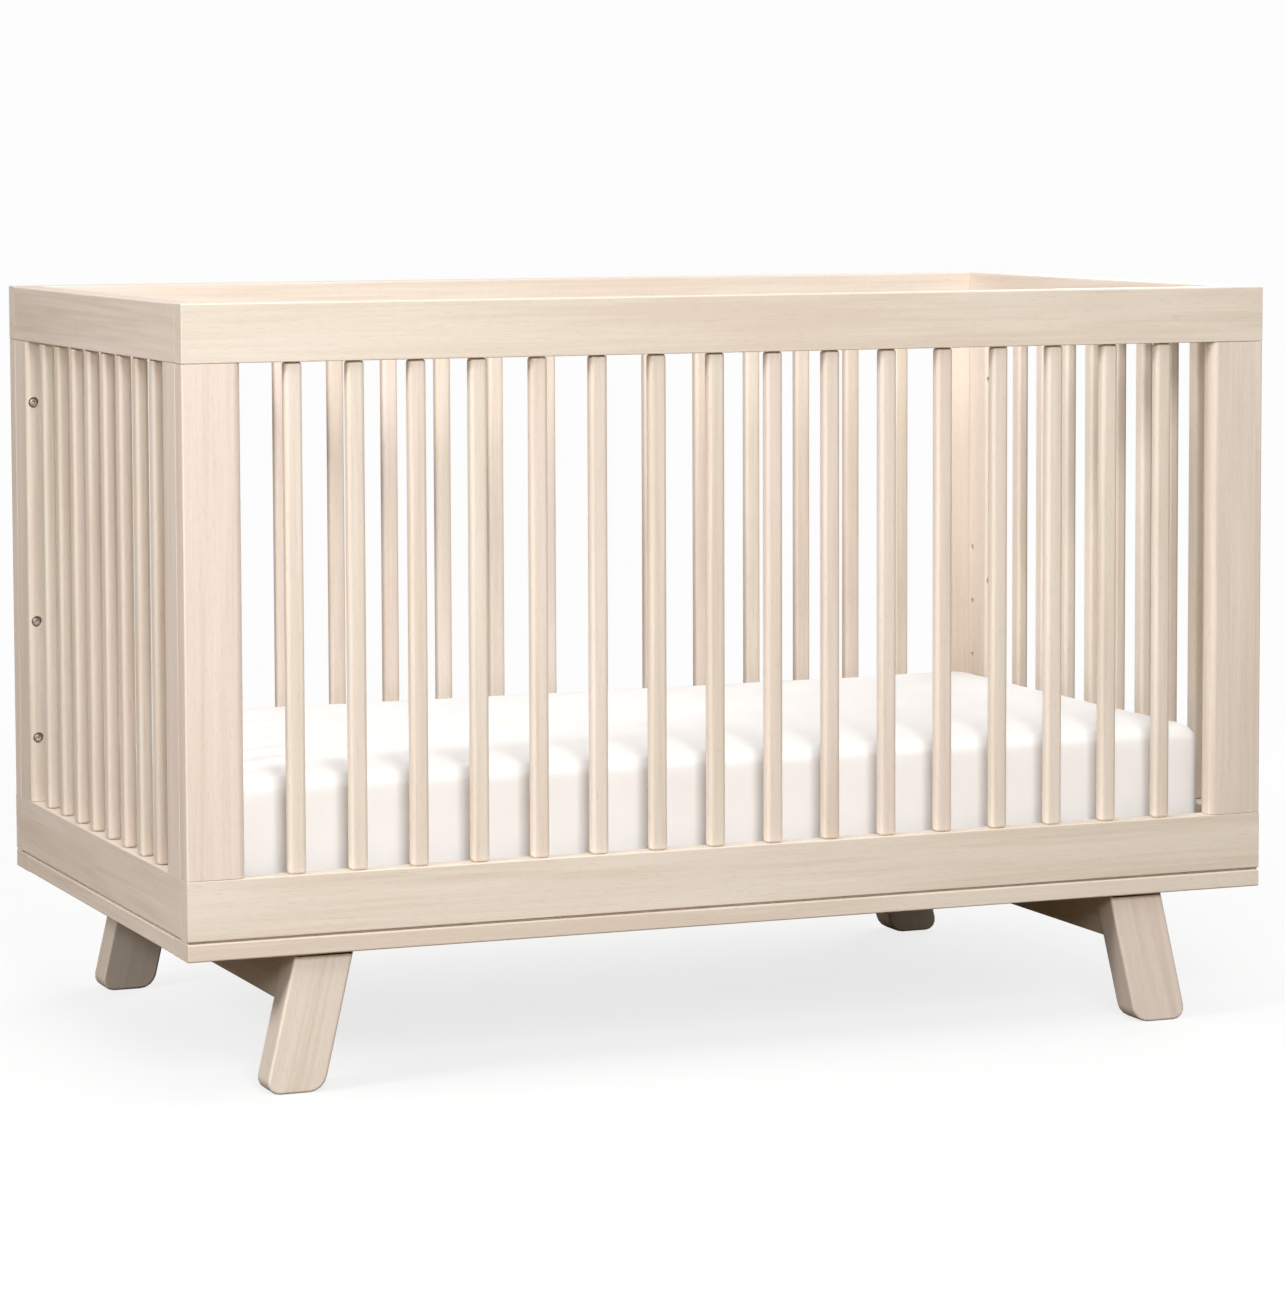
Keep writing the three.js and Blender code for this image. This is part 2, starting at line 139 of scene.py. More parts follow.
turn = np.linspace(0, 2 * math.pi, FLOOR_SIDES, endpoint=False)
radius = np.array(FLOOR_RINGS)[:, None]
rings = np.stack([radius * np.cos(turn), radius * np.sin(turn), 0 * radius * turn], -1)
floor = put_mesh("floor", rings, tube_faces(len(radius), len(turn))[:-1])
floor.data.flip_normals()
print("floor:", len(floor.data.polygons), "faces")

# %% [markdown]
# ## A short way to write node trees
# A material is a small network. This helper adds one node, sets its options, and fills each input
# with a number or with a wire from another node, so that a material below reads like a recipe.

# %% Node helper
def node(tree, kind, inputs=None, **options):
    """Adds a shader node. inputs maps a socket's name or number to a value or to another socket."""
    made = tree.nodes.new("ShaderNode" + kind)
    for option, value in options.items():
        setattr(made, option, value)
    for key, value in (inputs or {}).items():
        if isinstance(value, bpy.types.NodeSocket):
            tree.links.new(value, made.inputs[key])
        else:
            made.inputs[key].default_value = value
    return made


def new_material(name, slot=""):
    """A material with an empty tree and its output node. slot is its name in the CAD record."""
    material = bpy.data.materials.new(name)
    material["slot"] = slot
    material.use_nodes = True
    material.node_tree.nodes.clear()
    return material, material.node_tree, node(material.node_tree, "OutputMaterial")


def ramp(tree, factor, stops):
    """A colour ramp: stops is a list of (place from 0 to 1, linear colour)."""
    made = node(tree, "ValToRGB", {0: factor})
    elements = made.color_ramp.elements
    while len(elements) < len(stops):
        elements.new(1.0)
    for element, (place, colour) in zip(elements, stops):
        element.position = place
        element.color = (*colour[:3], 1)
    return made.outputs[0]


def math_node(tree, operation, first, second):
    """One sum on two numbers or sockets."""
    return node(tree, "Math", {0: first, 1: second}, operation=operation).outputs[0]


print("helpers:", [helper.__name__ for helper in (node, new_material, ramp, math_node)])

# %% [markdown]
# ## A white studio with dark undersides
# The floor has to fade into the white of the surroundings, so that no horizon cuts behind the
# crib. Simply glowing white would do that, but the glow would also light the crib from below, and
# real studios keep it off the underside of furniture with dark flags. So the floor and the
# surroundings have two faces: bright where they are seen, and dim where they only send light. The
# floor then is a dull brown, and the room is darkest near the horizon.

# %% Light the room
FADE_FROM = 1.2                 # metres from the middle where the floor starts to turn white
FADE_TO = 3.4
FLOOR_SEEN = (0.88, 0.88, 0.87, 1)
FLOOR_BOUNCE = (0.13, 0.09, 0.05, 1)
FLOOR_GLOW = 0.80               # share of even white in the floor's look, which softens the shadow
SEEN_WHITE = 0.98               # brightness of the surroundings where they are seen
ROOM_LIGHT = 0.56               # and as a light, high up
HORIZON_LIGHT = 0.08            # and low down, where it would reach under the crib
DOME_FROM = 0.5                 # height in a unit dome from which the room is fully bright
WHITE = (1, 1, 1, 1)

floor_material, tree, output = new_material("studio_floor")
place = node(tree, "TexCoord").outputs["Object"]
distance = node(tree, "VectorMath", {0: place}, operation="LENGTH").outputs["Value"]
fade = node(tree, "MapRange", {"Value": distance, "From Min": FADE_FROM, "From Max": FADE_TO},
            interpolation_type="SMOOTHSTEP").outputs["Result"]
matte = node(tree, "BsdfDiffuse", {"Color": FLOOR_SEEN}).outputs[0]
glow = node(tree, "Emission", {"Color": WHITE, "Strength": SEEN_WHITE}).outputs[0]
near = node(tree, "MixShader", {0: FLOOR_GLOW, 1: matte, 2: glow}).outputs[0]
seen = node(tree, "MixShader", {0: fade, 1: near, 2: glow}).outputs[0]
bounce = node(tree, "BsdfDiffuse", {"Color": FLOOR_BOUNCE}).outputs[0]
is_seen = node(tree, "LightPath").outputs["Is Camera Ray"]
mix = node(tree, "MixShader", {0: is_seen, 1: bounce, 2: seen}).outputs[0]
tree.links.new(mix, output.inputs["Surface"])
floor.data.materials.append(floor_material)

world = bpy.data.worlds.new("surroundings")
world.use_nodes = True
tree = world.node_tree
sky = node(tree, "TexCoord").outputs["Generated"]
height = node(tree, "SeparateXYZ", {0: sky}).outputs["Z"]
room = node(tree, "MapRange", {"Value": height, "From Min": 0.0, "From Max": DOME_FROM,
                               "To Min": HORIZON_LIGHT, "To Max": ROOM_LIGHT}).outputs["Result"]
is_seen = node(tree, "LightPath").outputs["Is Camera Ray"]
strength = node(tree, "MapRange", {"Value": is_seen, "To Min": room, "To Max": SEEN_WHITE})
tree.links.new(strength.outputs["Result"], tree.nodes["Background"].inputs["Strength"])
tree.nodes["Background"].inputs["Color"].default_value = WHITE
bpy.context.scene.world = world
print("surroundings:", len(tree.nodes), "nodes")

# %% [markdown]
# ## Four softboxes
# A softbox is a square lamp behind cloth, and its width decides how soft the shadows are. One
# stands in front, a little to the left. A narrower one lights the left end from the side. One hangs
# over the mattress, and a wide one behind keeps the far sides from going dull.

# %% Softboxes
# name: place, what it is aimed at, width, watts
SOFTBOXES = {
    "front_light": ((-0.95, -4.2, 2.4), (0, -0.4, 0.5), 1.5, 142),
    "end_light": ((-3.9, -1.3, 2.3), (-0.7, 0, 0.5), 0.8, 92),
    "top_light": ((0.1, -0.2, 3.3), (0.1, 0, 0), 2.0, 24),
    "back_light": ((3.4, 3.2, 2.4), (0.3, 0.2, 0.5), 2.4, 95),
}
for name, (spot, target, width, watts) in SOFTBOXES.items():
    lamp = bpy.data.objects.new(name, bpy.data.lights.new(name, "AREA"))
    lamp.data.shape = "SQUARE"
    lamp.data.size = width
    lamp.data.energy = watts
    lamp.location = spot
    lamp.rotation_euler = (Vector(target) - lamp.location).to_track_quat("-Z", "Y").to_euler()
    bpy.context.scene.collection.objects.link(lamp)
print("lights:", list(SOFTBOXES))

# %% [markdown]
# ## Washed wood
# The crib is pale hardwood, bleached and sealed with a satin clear coat. Real grain follows each
# board, so the pattern can't be tied to the room: every wooden piece carries a vector attribute
# called grain, with the distance along the board first and across it next. Stretched noise on that
# vector gives the broad figure, the fine streaks and the short pores. A second attribute, tone,
# shifts a whole board towards yellow or pink, because boards come from different trees.

# %% Wood material
PALE_STRAW = (0.800, 0.716, 0.618)
PALE_ROSE = (0.820, 0.708, 0.628)
DEEP_STRAW = (0.700, 0.601, 0.492)
DEEP_ROSE = (0.725, 0.600, 0.505)
PORE = (0.50, 0.39, 0.29)
FIGURE = (1.3, 22)              # waves per metre along the board and across it
STREAK = (5, 210)
PORE_LINE = (70, 1500)
FIGURE_SHARE = 0.62             # of the stain
STREAK_SHARE = 0.38
PORE_SINK = 0.8                 # how far pores lie below the streaks


def stretched_noise(tree, grain, scale, detail, distortion=0.0):
    """Noise drawn out along the board: scale is (along, across) in waves per metre."""
    vector = node(tree, "Mapping", {"Vector": grain, "Scale": (scale[0], scale[1], scale[1])})
    return node(tree, "TexNoise", {"Vector": vector.outputs[0], "Scale": 1.0, "Detail": detail,
                                   "Distortion": distortion}).outputs[0]


def mixed(tree, factor, first, second, blend="MIX"):
    """Mixes two colours."""
    made = node(tree, "Mix", {0: factor, 6: first, 7: second}, data_type="RGBA", blend_type=blend)
    return made.outputs[2]


washed_wood, tree, output = new_material("satin_washed_wood", "washed_wood")
grain = node(tree, "Attribute", attribute_name="grain").outputs["Vector"]
tone = node(tree, "Attribute", attribute_name="tone").outputs["Fac"]
figure = stretched_noise(tree, grain, FIGURE, 3, 0.7)
streaks = stretched_noise(tree, grain, STREAK, 4)
pores = stretched_noise(tree, grain, PORE_LINE, 2)

stain = math_node(tree, "ADD", math_node(tree, "MULTIPLY", figure, FIGURE_SHARE),
                  math_node(tree, "MULTIPLY", streaks, STREAK_SHARE))
pale = mixed(tree, tone, (*PALE_STRAW, 1), (*PALE_ROSE, 1))
deep = mixed(tree, tone, (*DEEP_STRAW, 1), (*DEEP_ROSE, 1))
depth = ramp(tree, stain, [(0.38, (1, 1, 1)), (0.50, (0.42, 0.42, 0.42)), (0.64, (0, 0, 0))])
body_colour = mixed(tree, depth, pale, deep)
flecks = ramp(tree, pores, [(0.30, (0.38, 0.38, 0.38)), (0.40, (0, 0, 0))])
colour = mixed(tree, flecks, body_colour, (*PORE, 1))

gloss = node(tree, "MapRange", {"Value": streaks, "From Min": 0.3, "From Max": 0.7,
                                "To Min": 0.40, "To Max": 0.56}).outputs["Result"]
relief = math_node(tree, "SUBTRACT", streaks, math_node(tree, "MULTIPLY", flecks, PORE_SINK))
bump = node(tree, "Bump", {"Strength": 0.35, "Distance": 0.00025, "Height": relief}).outputs[0]
shader = node(tree, "BsdfPrincipled", {"Base Color": colour, "Roughness": gloss, "Normal": bump,
                                       "Coat Weight": 0.12, "Coat Roughness": 0.28})
tree.links.new(shader.outputs[0], output.inputs["Surface"])
print("washed wood:", len(tree.nodes), "nodes")

# %% [markdown]
# ## Plated steel
# The bolts and brackets are zinc plated: a grey metal with soft spangles and fine scratches. A
# Voronoi pattern has the spangles' shape, and is laid thinly over a patchy grey. Fine noise makes
# the finish rougher in some places and scratches it.

# %% Zinc
SPANGLES = 420.0                # per metre, as the two below
PATCHES = 160.0
SCRATCHES = 900.0

zinc_steel, tree, output = new_material("spangled_zinc", "zinc_steel")
place = node(tree, "TexCoord").outputs["Object"]
spangle = node(tree, "TexVoronoi", {"Vector": place, "Scale": SPANGLES}).outputs["Color"]
patch = node(tree, "TexNoise", {"Vector": place, "Scale": PATCHES, "Detail": 3.0}).outputs[0]
scratch = node(tree, "TexNoise", {"Vector": place, "Scale": SCRATCHES, "Detail": 5.0}).outputs[0]
plating = ramp(tree, patch, [(0.3, (0.62, 0.60, 0.57)), (0.7, (0.78, 0.76, 0.73))])
tint = mixed(tree, 0.12, plating, spangle, "OVERLAY")
wear = node(tree, "MapRange", {"Value": scratch, "To Min": 0.34, "To Max": 0.54}).outputs[0]
bump = node(tree, "Bump", {"Strength": 0.25, "Distance": 0.0001, "Height": scratch}).outputs[0]
shader = node(tree, "BsdfPrincipled", {"Base Color": tint, "Roughness": wear, "Normal": bump,
                                       "Metallic": 1.0})
tree.links.new(shader.outputs[0], output.inputs["Surface"])
print("zinc:", len(tree.nodes), "nodes")

# %% [markdown]
# ## Powder coat
# The mattress support is sprayed with white powder that melts into a skin. It is never quite flat:
# it has the faint orange peel of the powder, and a little dust settles on it. One noise drives both
# the bump and the roughness, so the peel's hollows shine a little more than its hills.

# %% Enamel
PEEL = 650.0                    # per metre, as the dust
DUST = 14.0

white_enamel, tree, output = new_material("powder_coat", "white_enamel")
place = node(tree, "TexCoord").outputs["Object"]
peel = node(tree, "TexNoise", {"Vector": place, "Scale": PEEL, "Detail": 2.0}).outputs[0]
dust = node(tree, "TexNoise", {"Vector": place, "Scale": DUST, "Detail": 4.0}).outputs[0]
coat = ramp(tree, dust, [(0.3, (0.76, 0.75, 0.72)), (0.7, (0.84, 0.83, 0.81))])
satin = node(tree, "MapRange", {"Value": peel, "To Min": 0.30, "To Max": 0.44}).outputs[0]
bump = node(tree, "Bump", {"Strength": 0.3, "Distance": 0.0001, "Height": peel}).outputs[0]
shader = node(tree, "BsdfPrincipled", {"Base Color": coat, "Roughness": satin, "Normal": bump})
tree.links.new(shader.outputs[0], output.inputs["Surface"])
print("enamel:", len(tree.nodes), "nodes")

# %% [markdown]
# ## Cotton
# The fitted sheet is plain white cotton. A weave is often drawn on a UV map, but the sheet has
# none. Instead it is a lattice of fine waves in all three directions, which shows on the top and on
# the sides alike. A little sheen lights the edges, as the fluff of the threads does.

# %% Cotton
WEAVE = 75.0                    # at a scale of 1 a wave turns 20 radians in a metre: 240 waves here
WEAVE_DEEP = 0.3                # beside the slubs, the thicker places in the thread
SLUBS = 260.0                   # per metre, as the clouds
CLOUDS = 7.0

white_cotton, tree, output = new_material("fitted_sheet_cotton", "white_cotton")
place = node(tree, "TexCoord").outputs["Object"]
weave = None
for direction in ("X", "Y", "Z"):
    thread = node(tree, "TexWave", {"Vector": place, "Scale": WEAVE, "Distortion": 0.6, "Detail": 1.0},
                  bands_direction=direction).outputs["Fac"]
    weave = thread if weave is None else math_node(tree, "ADD", weave, thread)
slub = node(tree, "TexNoise", {"Vector": place, "Scale": SLUBS, "Detail": 3.0}).outputs[0]
cloud = node(tree, "TexNoise", {"Vector": place, "Scale": CLOUDS, "Detail": 2.0}).outputs[0]
linen = ramp(tree, cloud, [(0.3, (0.875, 0.860, 0.850)), (0.7, (0.910, 0.897, 0.890))])
fuzz = node(tree, "MapRange", {"Value": slub, "To Min": 0.78, "To Max": 0.95}).outputs[0]
height = math_node(tree, "ADD", math_node(tree, "MULTIPLY", weave, WEAVE_DEEP), slub)
bump = node(tree, "Bump", {"Strength": 0.3, "Distance": 0.0002, "Height": height}).outputs[0]
shader = node(tree, "BsdfPrincipled", {"Base Color": linen, "Roughness": fuzz, "Normal": bump,
                                       "Sheen Weight": 0.12, "Sheen Roughness": 0.4})
tree.links.new(shader.outputs[0], output.inputs["Surface"])
print("cotton:", len(tree.nodes), "nodes")

# %% [markdown]
# ## Shaping a member
# A woodworker planes a bar to its section, then breaks every edge with sandpaper. We do the same:
# a flat outline with rounded corners is carried along the member, and it draws in over the last
# millimetre or two so that the ends are rounded as well. A bevel modifier could round a box, but
# then all edges get one radius, and here the slats, stiles and feet each have their own.

# %% Outlines and bars
ARC_STEPS = 4
STEEP = 0.5                     # a unit direction that rises or falls more than this counts as upright


def rounded_outline(corners, radii):
    """A flat shape's outline with rounded corners, anticlockwise: points and outward normals.

    At a corner between edges with outward normals a and b, the arc's centre is
    corner - s r (a + b) / (1 + a.b) and its points are centre + s r n, where n turns evenly from
    a to b. s is 1 at an outside corner and -1 at an inside one.
    """
    corners = np.array(corners, float)
    radii = np.broadcast_to(np.array(radii, float), len(corners))[:, None]
    edges = np.roll(corners, -1, 0) - corners
    edges /= np.linalg.norm(edges, axis=1, keepdims=True)
    b = np.stack([edges[:, 1], -edges[:, 0]], 1)
    a = np.roll(b, 1, 0)
    dot = (a * b).sum(1, keepdims=True)
    turned = np.arctan2(a[:, :1] * b[:, 1:] - a[:, 1:] * b[:, :1], dot)
    s = np.sign(turned)
    angle = np.arctan2(a[:, 1:], a[:, :1]) + turned * np.linspace(0, 1, ARC_STEPS + 1)
    normals = np.stack([np.cos(angle), np.sin(angle)], -1)
    centres = corners - s * radii * (a + b) / (1 + dot)
    points = centres[:, None] + (s * radii)[:, None] * normals
    return points.reshape(-1, 2), normals.reshape(-1, 2)


def axes_along(direction):
    """Rows: two side axes, then the direction itself, all square to each other.

    The first side axis is level, and the second is upright, unless the direction itself is.
    """
    z = np.array(direction, float)
    x = np.cross((0, 0, 1), z) if abs(z[2]) < STEEP else np.array((1.0, 0, 0))
    x -= z * (x @ z)
    x /= np.linalg.norm(x)
    return np.stack([x, np.cross(z, x), z])


def eased_bar(outline, span, ease):
    """A section carried from span[0] to span[1] along Z, with quarter-round ends.

    At angle t from 0 to a quarter turn, the outline moves in by ease (1 - sin t) at a height
    ease (1 - cos t) from the end.
    """
    points, normals = outline
    t = np.linspace(0, math.pi / 2, ARC_STEPS + 1)
    inset = ease * (1 - np.sin(t))
    rise = ease * (1 - np.cos(t))
    inset = np.concatenate([inset, inset[::-1]])[:, None, None]
    height = np.concatenate([span[0] + rise, span[1] - rise[::-1]])[:, None]
    flat = points - inset * normals
    return np.dstack([flat, np.broadcast_to(height, flat.shape[:2])])


def rectangle(low, high):
    """The four corners of a rectangle, anticlockwise from the lower left."""
    return [(low[0], low[1]), (high[0], low[1]), (high[0], high[1]), (low[0], high[1])]


sample = rounded_outline(rectangle((0, 0), (0.02, 0.02)), 0.005)[0]
print("a rounded outline has", len(sample), "points")

# %% [markdown]
# ## Finishing a piece
# Each piece gets its material, rides on its CAD body and stands for its CAD node. Faces are shaded
# smooth with the true edges kept sharp, and weighted normals keep the wide flats flat beside their
# rounded edges. A wooden piece also gets its grain and tone.

# %% Finishing helpers
SHARP_ANGLE = math.radians(40)
LOG_REACH = 40                  # metres of imagined log to cut the boards from, each way
SEED = 11
dice = np.random.default_rng(SEED)


def set_attribute(piece, name, kind, field, values):
    """Stores one value for each point of the piece."""
    attribute = piece.data.attributes.new(name, kind, "POINT")
    attribute.data.foreach_set(field, np.asarray(values, np.float32).ravel())


def finish_piece(piece, material, body, nodes=()):
    """Material, shading, body, and the CAD nodes that the piece stands for."""
    piece.data.materials.clear()
    piece.data.materials.append(material)
    piece.data.polygons.foreach_set("use_smooth", [True] * len(piece.data.polygons))
    piece.data.set_sharp_from_angle(angle=SHARP_ANGLE)
    flats = piece.modifiers.new("flats", "WEIGHTED_NORMAL")
    flats.keep_sharp = True
    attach(piece, body)
    if nodes:
        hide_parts(*nodes)
    return piece


def finish_wood(piece, direction, nodes=()):
    """Adds the grain: distance along the board, then across it, from a place of its own in the log."""
    axes = axes_along(direction)
    grain_of_point = points_of(piece) @ np.stack([axes[2], axes[0], axes[1]]).T
    grain_of_point += dice.uniform(-LOG_REACH, LOG_REACH, 3)
    set_attribute(piece, "grain", "FLOAT_VECTOR", "vector", grain_of_point)
    tone_of_board = np.full(len(piece.data.vertices), dice.uniform(0, 1))
    set_attribute(piece, "tone", "FLOAT", "value", tone_of_board)
    return finish_piece(piece, washed_wood, "crib_frame", nodes)


def box_along(name, axes):
    """A node's box seen along the member: lowest and highest corner on the member's own axes."""
    ends = np.array([axes @ np.array(corner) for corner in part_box(name)])
    return ends.min(0), ends.max(0)


def bar(name, axes, outline, span, ease):
    """A bar with that outline, carried along the axes' third row."""
    grid = eased_bar(outline, span, ease)
    return put_mesh(name, grid.reshape(-1, 3) @ axes, tube_faces(*grid.shape[:2]))


def board(name, direction, radii, ease):
    """A straight board that fills the box of the CAD node of that name."""
    axes = axes_along(direction)
    low, high = box_along(name, axes)
    outline = rounded_outline(rectangle(low, high), radii)
    return bar(name + "_wood", axes, outline, (low[2], high[2]), ease)


print("seeded dice, first draw:", round(np.random.default_rng(SEED).random(), 3))

# %% [markdown]
# ## Rails
# The top rails are plain bars on edge, laid over the posts. Each bottom rail has a small rebate
# along its outer lower edge: where it meets the base it leaves a thin dark line, which hides any
# unevenness of the joint. A boolean could cut the rebate, but it is simpler to draw it as a step in
# the rail's section, which then runs along the whole rail.

# %% Rails
LENGTHWISE = (1, 0, 0)
CROSSWISE = (0, -1, 0)
UPRIGHT = (0, 0, 1)
EASED = 0.0022
SEAM = 0.0012                   # edges that meet another board are hardly broken
EASED_END = 0.0008
BUTT_END = 0.0004
REBATE_DEEP = 0.004
REBATE_HIGH = 0.0022
REBATE_ROUND = 0.0006

# panel: direction of its rails, and which side of the section faces out
PANELS = {
    "front": (LENGTHWISE, -1),
    "back": (LENGTHWISE, 1),
    "left_end": (CROSSWISE, -1),
    "right_end": (CROSSWISE, 1),
}


def rebated_outline(low, high, outer):
    """A rail's section with its lower outer corner stepped in. outer is -1 or 1."""
    step_x = low[0] + REBATE_DEEP
    step_z = low[1] + REBATE_HIGH
    corners = [(step_x, low[1]), (high[0], low[1]), (high[0], high[1]), (low[0], high[1]),
               (low[0], step_z), (step_x, step_z)]
    radii = [REBATE_ROUND, SEAM, SEAM, SEAM, SEAM, REBATE_ROUND]
    if outer > 0:
        corners = [(low[0] + high[0] - x, z) for x, z in corners][::-1]
        radii = radii[::-1]
    return rounded_outline(corners, radii)


for panel, (direction, outer) in PANELS.items():
    top = panel + "_top_rail"
    end_ease = EASED_END if direction == LENGTHWISE else BUTT_END
    finish_wood(board(top, direction, [SEAM, SEAM, EASED, EASED], end_ease), direction, [top])
    bottom = panel + "_bottom_rail"
    axes = axes_along(direction)
    low, high = box_along(bottom, axes)
    outline = rebated_outline(low, high, outer)
    rail = bar(bottom + "_wood", axes, outline, (low[2], high[2]), BUTT_END)
    finish_wood(rail, direction, [bottom])
print("rails:", 2 * len(PANELS))

# %% [markdown]
# ## Base boards
# The base is a frame of flat boards under the panels, with two cross boards inside it that carry
# the legs. They are plain planed boards, so each one is the box of its CAD node with broken edges.

# %% Base boards
for side in ("front", "back"):
    name = f"base_{side}_board"
    finish_wood(board(name, LENGTHWISE, EASED, EASED_END), LENGTHWISE, [name])
for place in ("left", "right", "left_cross", "right_cross"):
    name = f"base_{place}_board"
    finish_wood(board(name, CROSSWISE, EASED, BUTT_END), CROSSWISE, [name])
print("base boards: 6")

# %% [markdown]
# ## Slats
# A crib's slats are narrow bars with generously rounded edges, so that a child can hold them. The
# CAD joins eight of them in one node. Here each one is a piece of its own: we divide the opening
# between the uprights evenly, as the joiner does with a spacer stick. The shoulders at both ends
# are rounded over as well, so that a dark hollow shows where a slat meets a rail.

# %% Slats
SLAT_WIDE = 0.021
SLAT_THICK = 0.016
SLAT_ROUND = 0.0048
SLAT_SHOULDER = 0.0042
SIDE_COUNT = 16
END_COUNT = 8


def slat_places(low, high, count):
    """Middles of count slats with equal gaps between them and beside the uprights."""
    pitch = (high - low + SLAT_WIDE) / (count + 1)
    return (low + high) / 2 + (np.arange(count) - (count - 1) / 2) * pitch


def slat(name, x, y, across, span, nodes):
    """One slat at (x, y). across is its (X, Y) size."""
    low = (x - across[0] / 2, y - across[1] / 2)
    high = (x + across[0] / 2, y + across[1] / 2)
    outline = rounded_outline(rectangle(low, high), SLAT_ROUND)
    finish_wood(bar(name, axes_along(UPRIGHT), outline, span, SLAT_SHOULDER), UPRIGHT, nodes)


def slat_span(panel):
    """From the bottom rail's top to the top rail's underside."""
    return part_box(panel + "_bottom_rail")[1].z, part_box(panel + "_top_rail")[0].z


for side in ("front", "back"):
    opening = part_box(side + "_left_stile")[1].x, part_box(side + "_right_stile")[0].x
    banks = [f"{side}_left_slats", f"{side}_right_slats"]
    middle = sum(corner.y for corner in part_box(banks[0])) / 2
    for i, x in enumerate(slat_places(*opening, SIDE_COUNT)):
        stands_for = [banks[i // (SIDE_COUNT // 2)]]
        slat(f"{side}_slat_{i + 1}", x, middle, (SLAT_WIDE, SLAT_THICK), slat_span(side), stands_for)

for end in ("left_end", "right_end"):
    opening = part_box(end + "_front_post")[1].y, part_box(end + "_back_post")[0].y
    middle = sum(corner.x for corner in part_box(end + "_slats")) / 2
    for i, y in enumerate(slat_places(*opening, END_COUNT)):
        slat(f"{end}_slat_{i + 1}", middle, y, (SLAT_THICK, SLAT_WIDE), slat_span(end), [end + "_slats"])
print("slats:", 2 * SIDE_COUNT + 2 * END_COUNT)

# %% [markdown]
# ## Turning and drilling
# Bolts and holes are round, so both come from one lathe: a profile of radii and heights swept round
# an axis. A hole is drilled with a boolean, which subtracts a turned cutter from the piece. All of a
# post's ten cutters are joined in one mesh, so that the post is cut only once.

# %% Turned shapes
ROUND_STEPS = 36


def turned(profile, hexed=()):
    """A lathe's grid: each (radius, height) of the profile swept round Z.

    A row listed in hexed follows a hexagon: its radius is divided by the cosine of the angle to
    the middle of the nearest flat.
    """
    profile = np.array(profile, float)
    t = np.arange(ROUND_STEPS) * 2 * math.pi / ROUND_STEPS
    sixth = math.pi / 3
    to_flat = (t + sixth / 2) % sixth - sixth / 2
    shape = np.ones((len(profile), ROUND_STEPS))
    shape[list(hexed)] = 1 / np.cos(to_flat)
    r = profile[:, :1] * shape
    return np.dstack([r * np.cos(t), r * np.sin(t), np.broadcast_to(profile[:, 1:], r.shape)])


def joined(tubes):
    """Points and faces of several closed tubes in one mesh. A tube is its (n, 3) points and its faces."""
    points, faces = [], []
    for added, tube in tubes:
        start = sum(len(earlier) for earlier in points)
        faces += [[i + start for i in face] for face in tube]
        points.append(added)
    return np.concatenate(points), faces


def hole(mouth, direction, profile):
    """A cutter at its mouth: its profile of (radius, depth) runs in along the direction."""
    grid = turned(profile)
    placed = grid.reshape(-1, 3) @ axes_along(direction) + np.array(mouth)
    return placed, tube_faces(*grid.shape[:2])


def drill(piece, holes):
    """Subtracts the cutters from the piece."""
    cutter = put_mesh("cutter", *joined(holes))
    cutting = piece.modifiers.new("holes", "BOOLEAN")
    cutting.operation = "DIFFERENCE"
    cutting.solver = "EXACT"
    cutting.object = cutter
    bake_modifiers(piece)
    bpy.data.objects.remove(cutter)


print("hexagon corner:", round(float(turned([(1, 0)], [0])[0, 3, 0]), 3))

# %% [markdown]
# ## Stiles
# A side panel ends in two wide stiles, well rounded where they face the slats and crisp where they
# meet the end panel. Three bores from the inner face take the tips of the corner bolts. The bolts
# in the CAD say where: a bore that is placed by hand would miss them after the next change.

# %% Stiles
STILE_ROUND = 0.009
POST_END = 0.0003
BORE_R = 0.0034
STILE_BORE_DEEP = 0.019
PAST = 0.001                    # a cutter starts this far outside the face
LEVELS = ("lower", "middle", "upper")


def bolt_axis(end, row, level):
    """(x, z) of a corner bolt's axis."""
    low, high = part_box(f"{end}_{row}_{level}_bolt")
    return (low.x + high.x) / 2, (low.z + high.z) / 2


def bolt_points(end, row):
    """The axes of the three bolts of one corner."""
    return [bolt_axis(end, row, level) for level in LEVELS]


for row, inward in (("front", 1), ("back", -1)):
    for side in ("left", "right"):
        name = f"{row}_{side}_stile"
        radii = [EASED, STILE_ROUND, STILE_ROUND, EASED]
        if side == "right":
            radii = [STILE_ROUND, EASED, EASED, STILE_ROUND]
        stile = board(name, UPRIGHT, radii, POST_END)
        inner_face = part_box(name)[1 if inward > 0 else 0].y
        profile = [(BORE_R, -PAST), (BORE_R, STILE_BORE_DEEP)]
        drill(stile, [hole((x, inner_face, z), (0, -inward, 0), profile)
                      for x, z in bolt_points(side + "_end", row)])
        finish_wood(stile, UPRIGHT, [name])
print("stiles: 4, with", len(LEVELS), "bores each")

# %% [markdown]
# ## Corner posts
# An end panel ends in two posts. Three bolts go through each post into the stile beside it, with
# their heads sunk in counterbores. Beside each bolt is a blind hole for a low guard rail, and four
# small holes up the inner face take the mattress support at one of four heights. A stepped profile
# drills the counterbore and the bore behind it in one go.

# %% Corner posts
POST_ROUND = 0.006
COUNTERBORE_R = 0.007
COUNTERBORE_DEEP = 0.010
RAIL_HOLE_R = 0.005
RAIL_HOLE_DEEP = 0.012
RAIL_HOLE_FROM_OUTSIDE = 0.027
SUPPORT_HOLE_R = 0.0036
SUPPORT_HOLE_DEEP = 0.013
SUPPORT_HOLE_STEP = 0.075
SUPPORT_HOLE_COUNT = 4


